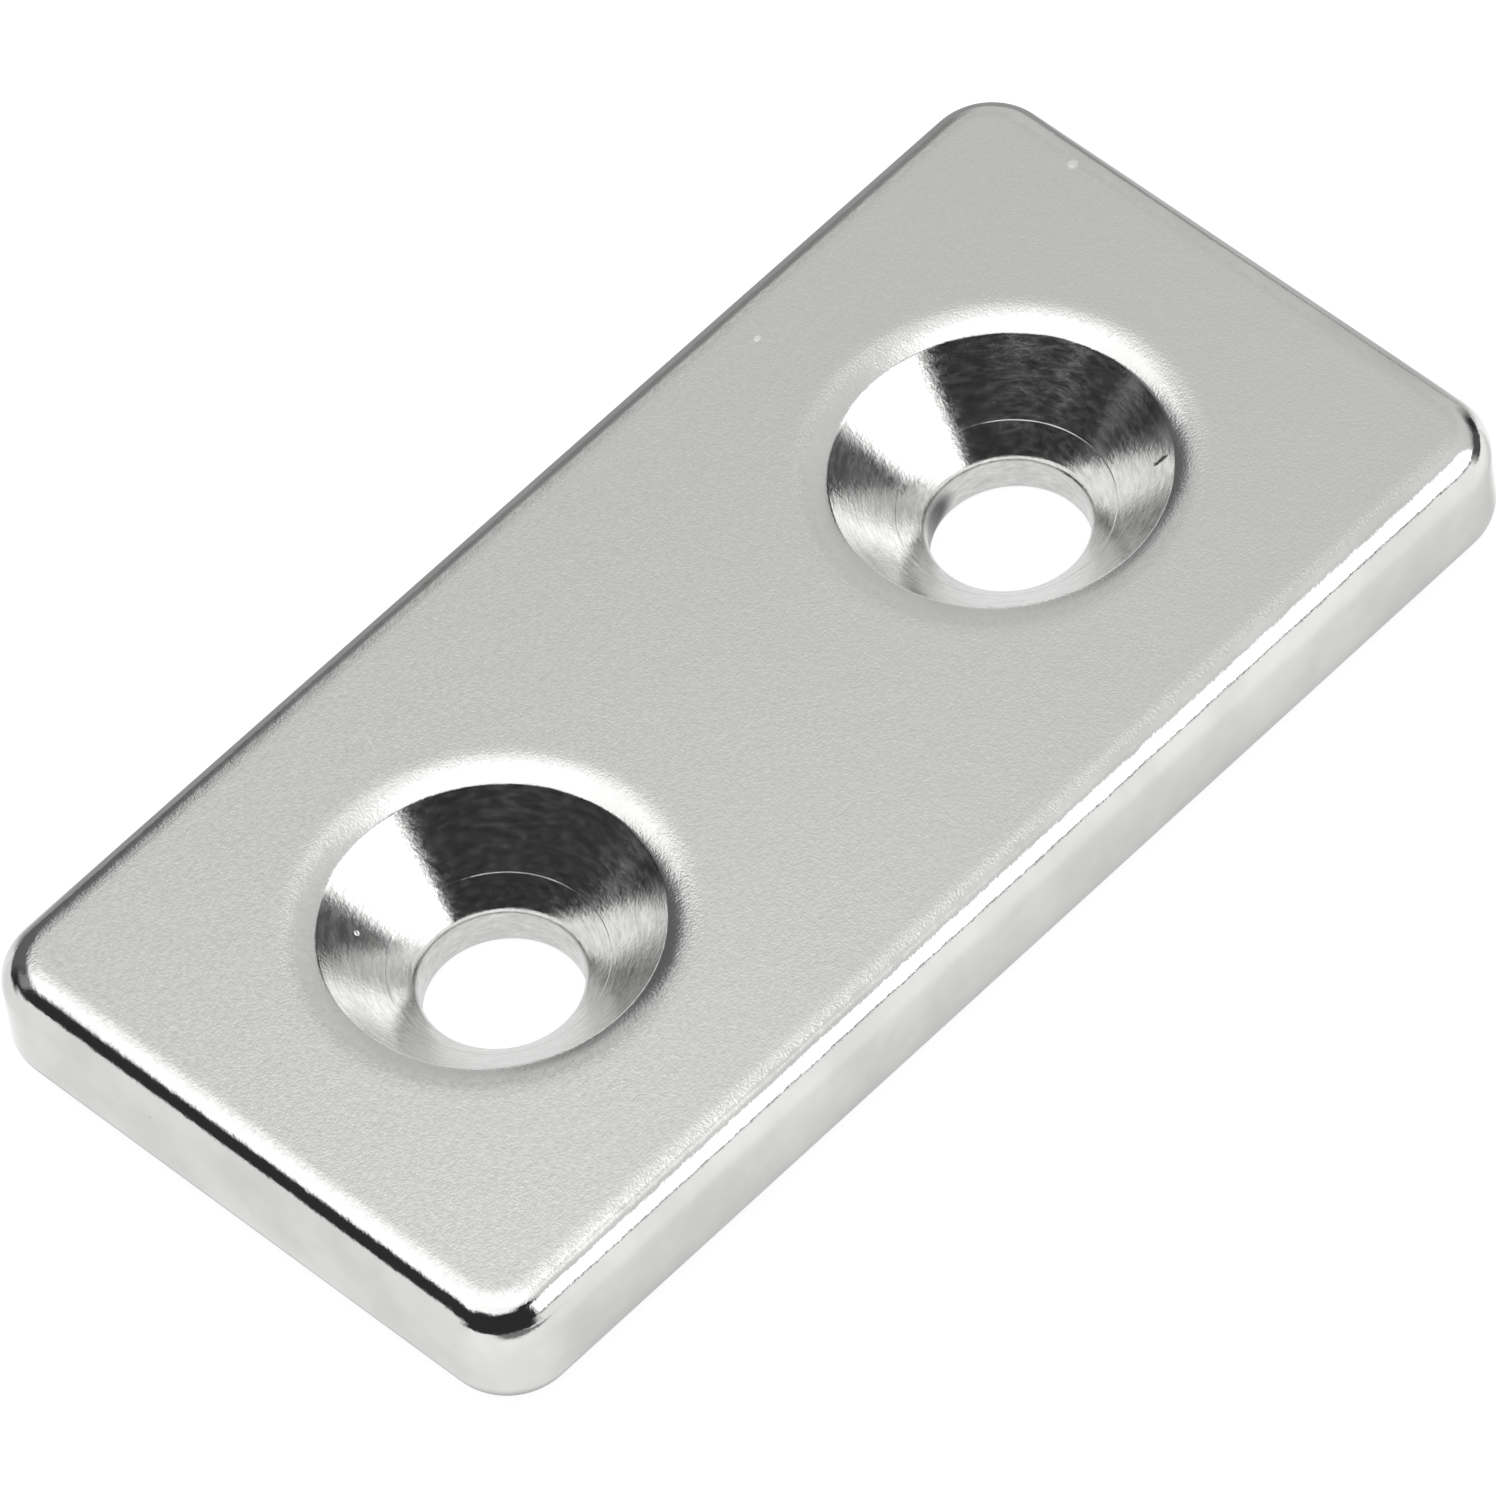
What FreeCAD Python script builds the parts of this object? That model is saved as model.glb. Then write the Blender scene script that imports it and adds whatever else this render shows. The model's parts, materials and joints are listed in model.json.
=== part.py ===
"""Block magnet with two countersunk screw holes.

One pressed and sintered block with rounded corners and tumbled edges. Each hole has a soft lip
that rolls off the top face, a crisp rim, a 90 degree cone with a fine step ring left by the
cutter, and a short straight bore with a rounded lower edge.

Frame: millimetres, origin at the centre of the bottom face, +X along the length,
+Y along the width, +Z up, towards the countersunk side.
"""
import FreeCAD, Part
import Sketcher
import math
import os

NODE = "block_magnet"
SHEET = "sizes"

# Driving dimensions: alias, value in millimetres or degrees, meaning
SIZES = (
    ("block_length", 40.0, "length of the block along X"),
    ("block_width", 20.0, "width of the block along Y"),
    ("block_thickness", 4.0, "height of the block along Z"),
    ("corner_radius", 2.0, "radius of the four upright corners, seen from above"),
    ("edge_radius", 1.1, "radius of the tumbled edges around both faces"),
    ("hole_spacing", 20.0, "distance between the two hole axes"),
    ("bore_diameter", 4.5, "clearance hole for an M4 screw"),
    ("bore_edge_radius", 0.2, "radius of the bore's lower edge"),
    ("rim_diameter", 9.5, "crisp rim where the cone meets the lip"),
    ("cone_angle", 90.0, "included angle of the countersink"),
    ("lip_width", 0.75, "how far the lip reaches out from the rim"),
    ("lip_drop", 0.2, "depth of the rim below the top face"),
    ("ring_diameter", 6.1, "outer edge of the step ring in the cone"),
    ("ring_width", 0.08, "width of the step ring, seen from above"),
    ("ring_drop", 0.03, "fall of the step ring towards the bore"),
)

# Largest difference between a cut's volume and the worked-out one, as a share of it
VOLUME_SHARE = 1e-4
# How near an edge has to lie to a face's plane to count as on it, in millimetres
ON_PLANE = 1e-6

# Numbers that the sketcher gives to its own axes and to the points of its geometry
X_AXIS = -1
Y_AXIS = -2
ORIGIN = (-1, 1)
START = 1
END = 2


def make_sheet(doc):
    """Spreadsheet with one aliased cell for each driving dimension."""
    sheet = doc.addObject("Spreadsheet::Sheet", SHEET)
    for row, (alias, value, meaning) in enumerate(SIZES, start=1):
        sheet.set(f"A{row}", meaning)
        sheet.set(f"B{row}", str(value))
        sheet.setAlias(f"B{row}", alias)
    doc.recompute()
    return sheet


def origin_plane(body, role):
    """The body's own origin plane with this role."""
    for feature in body.Origin.OriginFeatures:
        if feature.Role == role:
            return feature
    raise RuntimeError(f"{body.Label} has no {role}")


def new_sketch(body, name, role):
    """Empty sketch on one of the body's origin planes."""
    sketch = body.newObject("Sketcher::SketchObject", name)
    sketch.AttachmentSupport = [(origin_plane(body, role), "")]
    sketch.MapMode = "FlatFace"
    return sketch


def rule(sketch, kind, *places):
    """Geometric constraint without a value, such as Tangent or Coincident."""
    sketch.addConstraint(Sketcher.Constraint(kind, *places))


def dimension(sketch, kind, places, value, formula):
    """Dimensional constraint that starts at value and follows a formula on the sheet."""
    number = sketch.addConstraint(Sketcher.Constraint(kind, *places, value))
    sketch.setExpression(f"Constraints[{number}]", formula)


def arc(centre, radius, first_angle, last_angle):
    """Arc of a circle in the sketch plane, turned anticlockwise between two angles in radians."""
    circle = Part.Circle(FreeCAD.Vector(*centre, 0), FreeCAD.Vector(0, 0, 1), radius)
    return Part.ArcOfCircle(circle, first_angle, last_angle)


def line(first, last):
    """Straight line in the sketch plane."""
    return Part.LineSegment(FreeCAD.Vector(*first, 0), FreeCAD.Vector(*last, 0))


def draw_outline(body, sheet):
    """Sketch of the block seen from above: a rectangle with four equal round corners."""
    sketch = new_sketch(body, "block_outline", "XY_Plane")
    radius = sheet.corner_radius
    half_x = sheet.block_length / 2
    half_y = sheet.block_width / 2
    flat_x = half_x - radius
    flat_y = half_y - radius
    quarter = math.pi / 2
    front, corner_a, right, corner_b, back, corner_c, left, corner_d = sketch.addGeometry([
        line((-flat_x, -half_y), (flat_x, -half_y)),
        arc((flat_x, -flat_y), radius, -quarter, 0),
        line((half_x, -flat_y), (half_x, flat_y)),
        arc((flat_x, flat_y), radius, 0, quarter),
        line((flat_x, half_y), (-flat_x, half_y)),
        arc((-flat_x, flat_y), radius, quarter, 2 * quarter),
        line((-half_x, flat_y), (-half_x, -flat_y)),
        arc((-flat_x, -flat_y), radius, 2 * quarter, 3 * quarter),
    ])
    loop = (front, corner_a, right, corner_b, back, corner_c, left, corner_d)
    for this, following in zip(loop, loop[1:] + loop[:1]):
        rule(sketch, "Tangent", this, END, following, START)
    rule(sketch, "Horizontal", back)
    rule(sketch, "Vertical", left)
    for corner in (corner_b, corner_c, corner_d):
        rule(sketch, "Equal", corner_a, corner)
    rule(sketch, "Symmetric", front, START, front, END, Y_AXIS)
    rule(sketch, "Symmetric", right, START, right, END, X_AXIS)
    dimension(sketch, "Radius", (corner_a,), radius, f"{SHEET}.corner_radius")
    dimension(sketch, "DistanceX", (left, END, right, START), sheet.block_length,
              f"{SHEET}.block_length")
    dimension(sketch, "DistanceY", (front, END, back, START), sheet.block_width,
              f"{SHEET}.block_width")
    return sketch


def draw_hole(body, sheet):
    """Sketch of half of one hole's section, from its axis out to the wall.

    The sketch stands on the XZ plane with its own upright axis on the hole's axis.
    """
    sketch = new_sketch(body, "hole_section", "XZ_Plane")
    sketch.setExpression("AttachmentOffset.Base.x", f"{SHEET}.hole_spacing / 2")
    top = sheet.block_thickness
    bore = sheet.bore_diameter / 2
    foot = sheet.bore_edge_radius
    rim = sheet.rim_diameter / 2
    rim_z = top - sheet.lip_drop
    lip = rim + sheet.lip_width
    ring = sheet.ring_diameter / 2
    slope = 1 / math.tan(math.radians(sheet.cone_angle / 2))
    ring_z = rim_z - (rim - ring) * slope
    step = ring - sheet.ring_width
    step_z = ring_z - sheet.ring_drop
    bore_z = step_z - (step - bore) * slope
    lip_radius = (sheet.lip_width ** 2 + sheet.lip_drop ** 2) / (2 * sheet.lip_drop)
    lip_turn = math.asin(sheet.lip_width / lip_radius)
    quarter = math.pi / 2
    floor, foot_arc, wall, inner_cone, ledge, outer_cone, lip_arc, roof, axis = sketch.addGeometry([
        line((0, 0), (bore + foot, 0)),
        arc((bore + foot, foot), foot, 2 * quarter, 3 * quarter),
        line((bore, foot), (bore, bore_z)),
        line((bore, bore_z), (step, step_z)),
        line((step, step_z), (ring, ring_z)),
        line((ring, ring_z), (rim, rim_z)),
        arc((lip, top - lip_radius), lip_radius, quarter, quarter + lip_turn),
        line((lip, top), (0, top)),
        line((0, top), (0, 0)),
    ])
    rule(sketch, "Coincident", floor, START, *ORIGIN)
    rule(sketch, "Tangent", floor, END, foot_arc, END)
    rule(sketch, "Tangent", foot_arc, START, wall, START)
    rule(sketch, "Coincident", wall, END, inner_cone, START)
    rule(sketch, "Coincident", inner_cone, END, ledge, START)
    rule(sketch, "Coincident", ledge, END, outer_cone, START)
    rule(sketch, "Coincident", outer_cone, END, lip_arc, END)
    rule(sketch, "Tangent", lip_arc, START, roof, START)
    rule(sketch, "Coincident", roof, END, axis, START)
    rule(sketch, "Coincident", axis, END, floor, START)
    rule(sketch, "Horizontal", floor)
    rule(sketch, "Vertical", wall)
    rule(sketch, "Horizontal", roof)
    rule(sketch, "Vertical", axis)
    rule(sketch, "Parallel", inner_cone, outer_cone)
    dimension(sketch, "Radius", (foot_arc,), foot, f"{SHEET}.bore_edge_radius")
    dimension(sketch, "DistanceX", (*ORIGIN, wall, END), bore, f"{SHEET}.bore_diameter / 2")
    dimension(sketch, "DistanceX", (*ORIGIN, ledge, END), ring, f"{SHEET}.ring_diameter / 2")
    dimension(sketch, "DistanceX", (*ORIGIN, outer_cone, END), rim, f"{SHEET}.rim_diameter / 2")
    dimension(sketch, "DistanceY", (*ORIGIN, roof, END), top, f"{SHEET}.block_thickness")
    dimension(sketch, "DistanceX", (ledge, START, ledge, END), sheet.ring_width,
              f"{SHEET}.ring_width")
    dimension(sketch, "DistanceY", (ledge, START, ledge, END), sheet.ring_drop,
              f"{SHEET}.ring_drop")
    dimension(sketch, "DistanceX", (outer_cone, END, roof, START), sheet.lip_width,
              f"{SHEET}.lip_width")
    dimension(sketch, "DistanceY", (outer_cone, END, roof, START), sheet.lip_drop,
              f"{SHEET}.lip_drop")
    dimension(sketch, "Angle", (outer_cone,), quarter - math.radians(sheet.cone_angle / 2),
              f"90 deg - {SHEET}.cone_angle * 1 deg / 2")
    return sketch


def face_edges(shape, thickness):
    """Names of the edges that lie in the bottom plane or in the top plane of the block."""
    names = []
    for number, edge in enumerate(shape.Edges, start=1):
        box = edge.BoundBox
        flat = box.ZMax - box.ZMin < ON_PLANE
        outer = min(abs(box.ZMin), abs(box.ZMin - thickness)) < ON_PLANE
        if flat and outer:
            names.append(f"Edge{number}")
    return names


def turned_volume(sketch, axis_x):
    """Volume that the sketched section sweeps in one full turn about its axis."""
    section = Part.Face(Part.Wire(sketch.Shape.Edges))
    arm = section.CenterOfMass.x - axis_x
    return 2 * math.pi * arm * section.Area


def check_cut(before, after, expected, name):
    """Stops unless the cut took away the volume that it should."""
    removed = before.Volume - after.Volume
    if abs(removed - expected) > VOLUME_SHARE * expected:
        raise RuntimeError(f"{name} took {removed:.4f} mm3 and not {expected:.4f} mm3")


def make_magnet(doc, sheet):
    """The block, its tumbled edges and its two countersunk holes, as one body."""
    body = doc.addObject("PartDesign::Body", NODE)
    body.Label = NODE

    block = body.newObject("PartDesign::Pad", "block")
    block.Profile = draw_outline(body, sheet)
    block.setExpression("Length", f"{SHEET}.block_thickness")
    doc.recompute()

    edges = body.newObject("PartDesign::Fillet", "tumbled_edges")
    edges.Base = (block, face_edges(block.Shape, sheet.block_thickness))
    edges.setExpression("Radius", f"{SHEET}.edge_radius")
    doc.recompute()

    section = draw_hole(body, sheet)
    hole = body.newObject("PartDesign::Groove", "countersunk_hole")
    hole.Profile = section
    hole.ReferenceAxis = (section, ["V_Axis"])
    hole.Angle = 360
    doc.recompute()
    hole_volume = turned_volume(section, sheet.hole_spacing / 2)
    check_cut(edges.Shape, hole.Shape, hole_volume, "the first hole")

    second = body.newObject("PartDesign::Mirrored", "second_hole")
    second.Originals = [hole]
    second.MirrorPlane = (origin_plane(body, "YZ_Plane"), [""])
    body.Tip = second
    doc.recompute()
    check_cut(hole.Shape, second.Shape, hole_volume, "the second hole")
    return body


def check_document(doc, bodies):
    """Stops if any object failed or any body lacks a sound single solid."""
    for item in doc.Objects:
        if "Invalid" in item.State or "Error" in item.State:
            raise RuntimeError(f"{item.Name} failed: {item.State}")
    for body in bodies:
        if body.Shape.isNull() or not body.Shape.isValid():
            raise RuntimeError(f"{body.Label} has no valid shape")
        if len(body.Shape.Solids) != 1:
            raise RuntimeError(f"{body.Label} has {len(body.Shape.Solids)} solids")


def main():
    """Builds the document, checks it and writes one STEP file for each body."""
    doc = FreeCAD.newDocument("magnet")
    sheet = make_sheet(doc)
    bodies = [make_magnet(doc, sheet)]
    doc.recompute()
    check_document(doc, bodies)
    os.makedirs("parts", exist_ok=True)
    for body in bodies:
        body.Shape.exportStep(os.path.join("parts", f"{body.Label}.step"))
        box = body.Shape.BoundBox
        print(f"{body.Label}: {box.XLength:.3f} x {box.YLength:.3f} x {box.ZLength:.3f} mm,"
              f" {body.Shape.Volume:.2f} mm3")


main()
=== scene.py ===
"""Block magnet with two countersunk screw holes, plated and lit as in a small white studio.

The magnet's skin is one closed surface worked out with numpy: two faces, a tumbled edge carried
round the outline, and two turned holes. It replaces the plain solid of the frame and keeps its
sizes. All lengths are in metres, in the frame's own axes.
"""
import json
import logging
import math
from dataclasses import dataclass
from enum import Enum
from typing import Sequence

import bmesh
import bpy
import numpy as np
from mathutils import Matrix, Vector


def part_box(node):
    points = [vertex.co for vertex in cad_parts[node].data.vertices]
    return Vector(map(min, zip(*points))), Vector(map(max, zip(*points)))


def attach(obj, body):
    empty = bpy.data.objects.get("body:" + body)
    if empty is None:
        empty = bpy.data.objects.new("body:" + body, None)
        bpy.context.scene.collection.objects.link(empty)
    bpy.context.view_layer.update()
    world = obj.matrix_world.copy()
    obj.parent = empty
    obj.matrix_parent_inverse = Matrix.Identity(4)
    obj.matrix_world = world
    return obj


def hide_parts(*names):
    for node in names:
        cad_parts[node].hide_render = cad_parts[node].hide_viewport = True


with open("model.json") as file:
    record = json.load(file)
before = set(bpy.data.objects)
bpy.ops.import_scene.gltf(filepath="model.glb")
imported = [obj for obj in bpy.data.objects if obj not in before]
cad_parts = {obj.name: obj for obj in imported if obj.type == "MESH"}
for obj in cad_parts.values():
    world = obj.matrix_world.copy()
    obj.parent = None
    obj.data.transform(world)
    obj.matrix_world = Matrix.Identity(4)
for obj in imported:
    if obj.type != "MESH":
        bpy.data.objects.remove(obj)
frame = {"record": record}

LOG = logging.getLogger("block_magnet")

NODE = "block_magnet"
BODY = "root"
SLOPE = "slope"
MM = 0.001
NOISE_RANGE = (0.3, 0.7)

Color = tuple[float, float, float]
Socket = bpy.types.NodeSocket


class Zone(Enum):
    """Finishes on the magnet, numbered as the mesh's material slots."""

    PLATE = 0
    TURNED = 1


class Graph:
    """A node tree with short calls for the nodes that the finishes and the sky need."""

    def __init__(self, tree: bpy.types.NodeTree) -> None:
        """Empties the tree, so that it holds only what is added here."""
        self.tree = tree
        tree.nodes.clear()

    def node(self, kind: str, **settings: object) -> bpy.types.Node:
        """Adds a node.

        Args:
            kind: Blender's name for the node type.
            settings: properties of the node, by name.

        Returns:
            The new node.
        """
        made = self.tree.nodes.new(kind)
        for name, value in settings.items():
            setattr(made, name, value)
        return made

    def feed(self, socket: Socket, value: Socket | float | Sequence[float]) -> None:
        """Links another node's output to a socket, or sets the socket's own value.

        Args:
            socket: the input that is fed.
            value: the other node's output, or a plain value.
        """
        if isinstance(value, bpy.types.NodeSocket):
            self.tree.links.new(value, socket)
        else:
            socket.default_value = value

    def math(self, operation: str, *values: Socket | float) -> Socket:
        """Adds a Math node.

        Args:
            operation: the node's operation, such as MULTIPLY.
            values: numbers or sockets, in the order of the node's inputs.

        Returns:
            The result's socket.
        """
        made = self.node("ShaderNodeMath", operation=operation)
        for socket, value in zip(made.inputs, values):
            self.feed(socket, value)
        return made.outputs[0]

    def step(self, value: Socket, low: float, high: float,
             first: float = 0.0, last: float = 1.0, smooth: bool = True) -> Socket:
        """Adds a Map Range node that goes from first at low to last at high and stays there.

        Args:
            value: the number that is mapped.
            low: where the change begins.
            high: where the change ends.
            first: result at low and before it.
            last: result at high and past it.
            smooth: True for a soft start and end, False for a straight ramp.

        Returns:
            The mapped number's socket.
        """
        made = self.node("ShaderNodeMapRange",
                         interpolation_type="SMOOTHSTEP" if smooth else "LINEAR")
        for name, number in (("From Min", low), ("From Max", high), ("To Min", first),
                             ("To Max", last)):
            made.inputs[name].default_value = number
        self.feed(made.inputs["Value"], value)
        return made.outputs["Result"]

    def length(self, x: Socket, y: Socket) -> Socket:
        """Adds nodes for the distance of (x, y) from nought: the root of x^2 + y^2.

        Args:
            x: the first part.
            y: the second part.

        Returns:
            The distance's socket.
        """
        return self.math("SQRT", self.math(
            "ADD", self.math("MULTIPLY", x, x), self.math("MULTIPLY", y, y)))

    def hole_distance(self, x: Socket, y: Socket, spacing: float) -> Socket:
        """Adds nodes for a place's distance from the axis of the hole on its own half.

        Args:
            x: the place along the length.
            y: the place along the width.
            spacing: how far the two holes lie apart.

        Returns:
            The distance's socket.
        """
        return self.length(
            self.math("SUBTRACT", self.math("ABSOLUTE", x), spacing / 2), y)

    def azimuth(self, x: Socket, y: Socket) -> Socket:
        """Adds nodes for the angle of (x, y) about Z, in degrees from +X."""
        return self.math("MULTIPLY", self.math("ARCTAN2", y, x), math.degrees(1.0))

    def apart(self, azimuth: Socket, other: float) -> Socket:
        """Adds nodes for the angle between two azimuths, in degrees from 0 to 180."""
        away = self.math("SUBTRACT", azimuth, other)
        return self.math("ABSOLUTE", self.math("WRAP", away, 180.0, -180.0))

    def mix(self, factor: Socket, first: Socket | float, last: Socket | float) -> Socket:
        """Goes from one number to another.

        Args:
            factor: how far to go, from 0 to 1.
            first: result at 0.
            last: result at 1.

        Returns:
            The result's socket.
        """
        made = self.node("ShaderNodeMix", data_type="FLOAT")
        self.feed(made.inputs[0], factor)
        self.feed(made.inputs[2], first)
        self.feed(made.inputs[3], last)
        return made.outputs[0]

    def mix_color(self, factor: Socket, first: Color | Socket, last: Color | Socket) -> Socket:
        """Goes from one colour to another.

        Args:
            factor: how far to go, from 0 to 1.
            first: colour at 0.
            last: colour at 1.

        Returns:
            The colour's socket.
        """
        made = self.node("ShaderNodeMix", data_type="RGBA")
        self.feed(made.inputs[0], factor)
        for socket, value in ((made.inputs[6], first), (made.inputs[7], last)):
            self.feed(socket, (*value, 1.0) if isinstance(value, tuple) else value)
        return made.outputs[2]

    def shade(self, color: Color | Socket, factor: Socket | float) -> Socket:
        """Makes a colour lighter or darker.

        Args:
            color: the colour.
            factor: what it is multiplied by, 1 to leave it as it is.

        Returns:
            The new colour's socket.
        """
        made = self.node("ShaderNodeVectorMath", operation="SCALE")
        self.feed(made.inputs[0], color)
        self.feed(made.inputs["Scale"], factor)
        return made.outputs[0]

    def noise(self, vector: Socket, scale: float, detail: float = 2.0,
              roughness: float = 0.5) -> Socket:
        """Adds a Noise node.

        Args:
            vector: the place that is looked up.
            scale: repeats for each unit of the place.
            detail: how many finer layers are added.
            roughness: how strong each finer layer is.

        Returns:
            The noise's socket, between about 0 and 1 and around 0.5.
        """
        made = self.node("ShaderNodeTexNoise")
        self.feed(made.inputs["Vector"], vector)
        made.inputs["Scale"].default_value = scale
        made.inputs["Detail"].default_value = detail
        made.inputs["Roughness"].default_value = roughness
        return made.outputs[0]

    def vector(self, *parts: Socket | float) -> Socket:
        """Vector from up to three numbers."""
        made = self.node("ShaderNodeCombineXYZ")
        for socket, value in zip(made.inputs, parts):
            self.feed(socket, value)
        return made.outputs[0]

    def split(self, vector: Socket) -> tuple[Socket, Socket, Socket]:
        """The three numbers of a vector."""
        made = self.node("ShaderNodeSeparateXYZ")
        self.feed(made.inputs[0], vector)
        return made.outputs[0], made.outputs[1], made.outputs[2]

    def bump(self, height: Socket, distance: float, below: Socket | None = None) -> Socket:
        """Tilts the surface by a height map.

        Args:
            height: the map, between 0 and 1.
            distance: the height of 1 in metres.
            below: normal of a coarser bump that this one lies on, or None.

        Returns:
            The tilted normal's socket.
        """
        made = self.node("ShaderNodeBump")
        made.inputs["Distance"].default_value = distance
        self.feed(made.inputs["Height"], height)
        if below is not None:
            self.feed(made.inputs["Normal"], below)
        return made.outputs["Normal"]

    def surface(self, shader: Socket, kind: str = "ShaderNodeOutputMaterial") -> None:
        """Gives a shader to the tree's output node.

        Args:
            shader: the finished shader.
            kind: Blender's name for the output node's type.
        """
        self.feed(self.node(kind).inputs["Surface"], shader)


@dataclass(frozen=True)
class Mark:
    """A small mark on the plate: a pit, a pimple, a nick, a scratch or a patch of painted shade.

    On pits, pimples and nicks the lighter or darker colour is painted shade or a painted
    highlight;
    on scratches it is their own tone. Place, half sizes and height are in millimetres, and the
    turn about Z is in degrees.
    """

    place: tuple[float, float, float]
    size: tuple[float, float, float]
    turn: float = 0.0
    height: float = 0.0
    shade: float = 1.0
    core: float = 0.35

    def mask(self, graph: Graph, place: Socket) -> Socket:
        """The mark's own area.

        Args:
            graph: the finish's graph.
            place: Object coordinates.

        Returns:
            1 in the middle of the mark, 0 outside its half sizes.
        """
        own = graph.node("ShaderNodeMapping", vector_type="TEXTURE")
        graph.feed(own.inputs["Vector"], place)
        own.inputs["Location"].default_value = [part * MM for part in self.place]
        own.inputs["Rotation"].default_value = (0.0, 0.0, math.radians(self.turn))
        own.inputs["Scale"].default_value = [part * MM for part in self.size]
        away = graph.node("ShaderNodeVectorMath", operation="LENGTH")
        graph.feed(away.inputs[0], own.outputs[0])
        return graph.step(away.outputs["Value"], self.core, 1.0, 1.0, 0.0)

    @staticmethod
    def apply(marks: Sequence["Mark"], graph: Graph, place: Socket, color: Socket | Color,
              normal: Socket) -> tuple[Socket, Socket]:
        """Puts marks on a finish.

        Args:
            marks: the blemishes.
            graph: the finish's graph.
            place: Object coordinates.
            color: the finish's colour.
            normal: the finish's normal.

        Returns:
            The colour and the normal with the marks.
        """
        for mark in marks:
            mask = mark.mask(graph, place)
            if mark.shade != 1.0:
                color = graph.shade(color, graph.mix(mask, 1.0, mark.shade))
            if mark.height:
                lift = mask if mark.height > 0 else graph.math("SUBTRACT", 1.0, mask)
                normal = graph.bump(lift, abs(mark.height) * MM, normal)
        return color, normal


@dataclass(frozen=True)
class HoleSection:
    """Section of one countersunk hole, from the lip on the top face down to the bottom face."""

    top: float
    bore_radius: float
    rim_radius: float = 4.75 * MM
    lip_width: float = 1.2 * MM
    lip_drop: float = 0.235 * MM
    lip_power: float = 2.5
    lip_stop: float = 0.125 * MM
    cone_angle: float = math.radians(90.0)
    ring_radius: float = 3.05 * MM
    ring_width: float = 0.018 * MM
    ring_drop: float = 0.012 * MM
    foot_radius: float = 0.2 * MM
    burnish: float = 0.03 * MM
    rim_burnish: float = 0.05 * MM
    bore_burnish: float = 0.2 * MM
    burnish_share: float = 0.4
    burnish_rows: int = 5
    arc_rows: int = 16

    @property
    def mouth_radius(self) -> float:
        """Radius where the lip leaves the top face."""
        return self.rim_radius + self.lip_width

    @property
    def foot_mouth_radius(self) -> float:
        """Radius where the bore's rounded lower edge meets the bottom face."""
        return self.bore_radius + self.foot_radius

    def lip(self) -> np.ndarray:
        """Points of the lip, from the top face down to just short of the rim.

        It leaves the top face flat and rolls over ever faster: with t from 0 at the mouth to 1
        at the rim, r = mouth - width t and z = top - drop t^power.

        Returns:
            Array of (radius, height) rows.
        """
        t = np.linspace(0.0, 1.0 - self.lip_stop / self.lip_width, self.arc_rows)
        return np.column_stack([self.mouth_radius - self.lip_width * t,
                                self.top - self.lip_drop * t ** self.lip_power])

    def corners(self) -> np.ndarray:
        """Sharp corners below the lip: rim, step ring, end of the cone, foot of the bore.

        Returns:
            Array of (radius, height) rows, from the rim down.
        """
        slope = 1 / math.tan(self.cone_angle / 2)
        rim_z = self.top - self.lip_drop
        ring_z = rim_z - (self.rim_radius - self.ring_radius) * slope
        step_radius = self.ring_radius - self.ring_width
        step_z = ring_z - self.ring_drop
        bore_z = step_z - (step_radius - self.bore_radius) * slope
        return np.array([
            (self.rim_radius, rim_z),
            (self.ring_radius, ring_z),
            (step_radius, step_z),
            (self.bore_radius, bore_z),
            (self.bore_radius, self.foot_radius),
        ])

    def foot(self) -> np.ndarray:
        """Points of the bore's lower edge, a quarter circle that flares out to the bottom face."""
        turn = np.linspace(0.0, math.pi / 2, self.arc_rows // 2)
        return np.column_stack([self.foot_mouth_radius - self.foot_radius * np.cos(turn),
                                self.foot_radius * (1 - np.sin(turn))])

    def rows(self) -> tuple[np.ndarray, int]:
        """The whole section as one line of points.

        Each sharp corner becomes a small curve B(t) = (1-t)^2 A + 2 t (1-t) P + t^2 C, where P
        is the corner and A and C lie a burnish width up and down the section from it.

        Returns:
            Array of (radius, height) rows from the top face to the bottom face, and the number
            of the row where the turned cone begins.
        """
        lip = self.lip()
        corners = self.corners()
        before = np.vstack([lip[-1:], corners[:-2]])
        inner, after = corners[:-1], corners[1:]
        up = before - inner
        down = after - inner
        up_length = np.linalg.norm(up, axis=1, keepdims=True)
        down_length = np.linalg.norm(down, axis=1, keepdims=True)
        wanted = np.array([self.rim_burnish, self.burnish, self.burnish,
                           self.bore_burnish])[:, None]
        reach = np.minimum(wanted, np.minimum(up_length, down_length) * self.burnish_share)
        first = inner + up / up_length * reach
        last = inner + down / down_length * reach
        t = np.linspace(0.0, 1.0, self.burnish_rows)[None, :, None]
        curves = ((1 - t) ** 2 * first[:, None] + 2 * t * (1 - t) * inner[:, None]
                  + t ** 2 * last[:, None])
        section = np.vstack([lip, curves.reshape(-1, 2), self.foot()])
        return section, len(lip) + curves.shape[1] // 2


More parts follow.
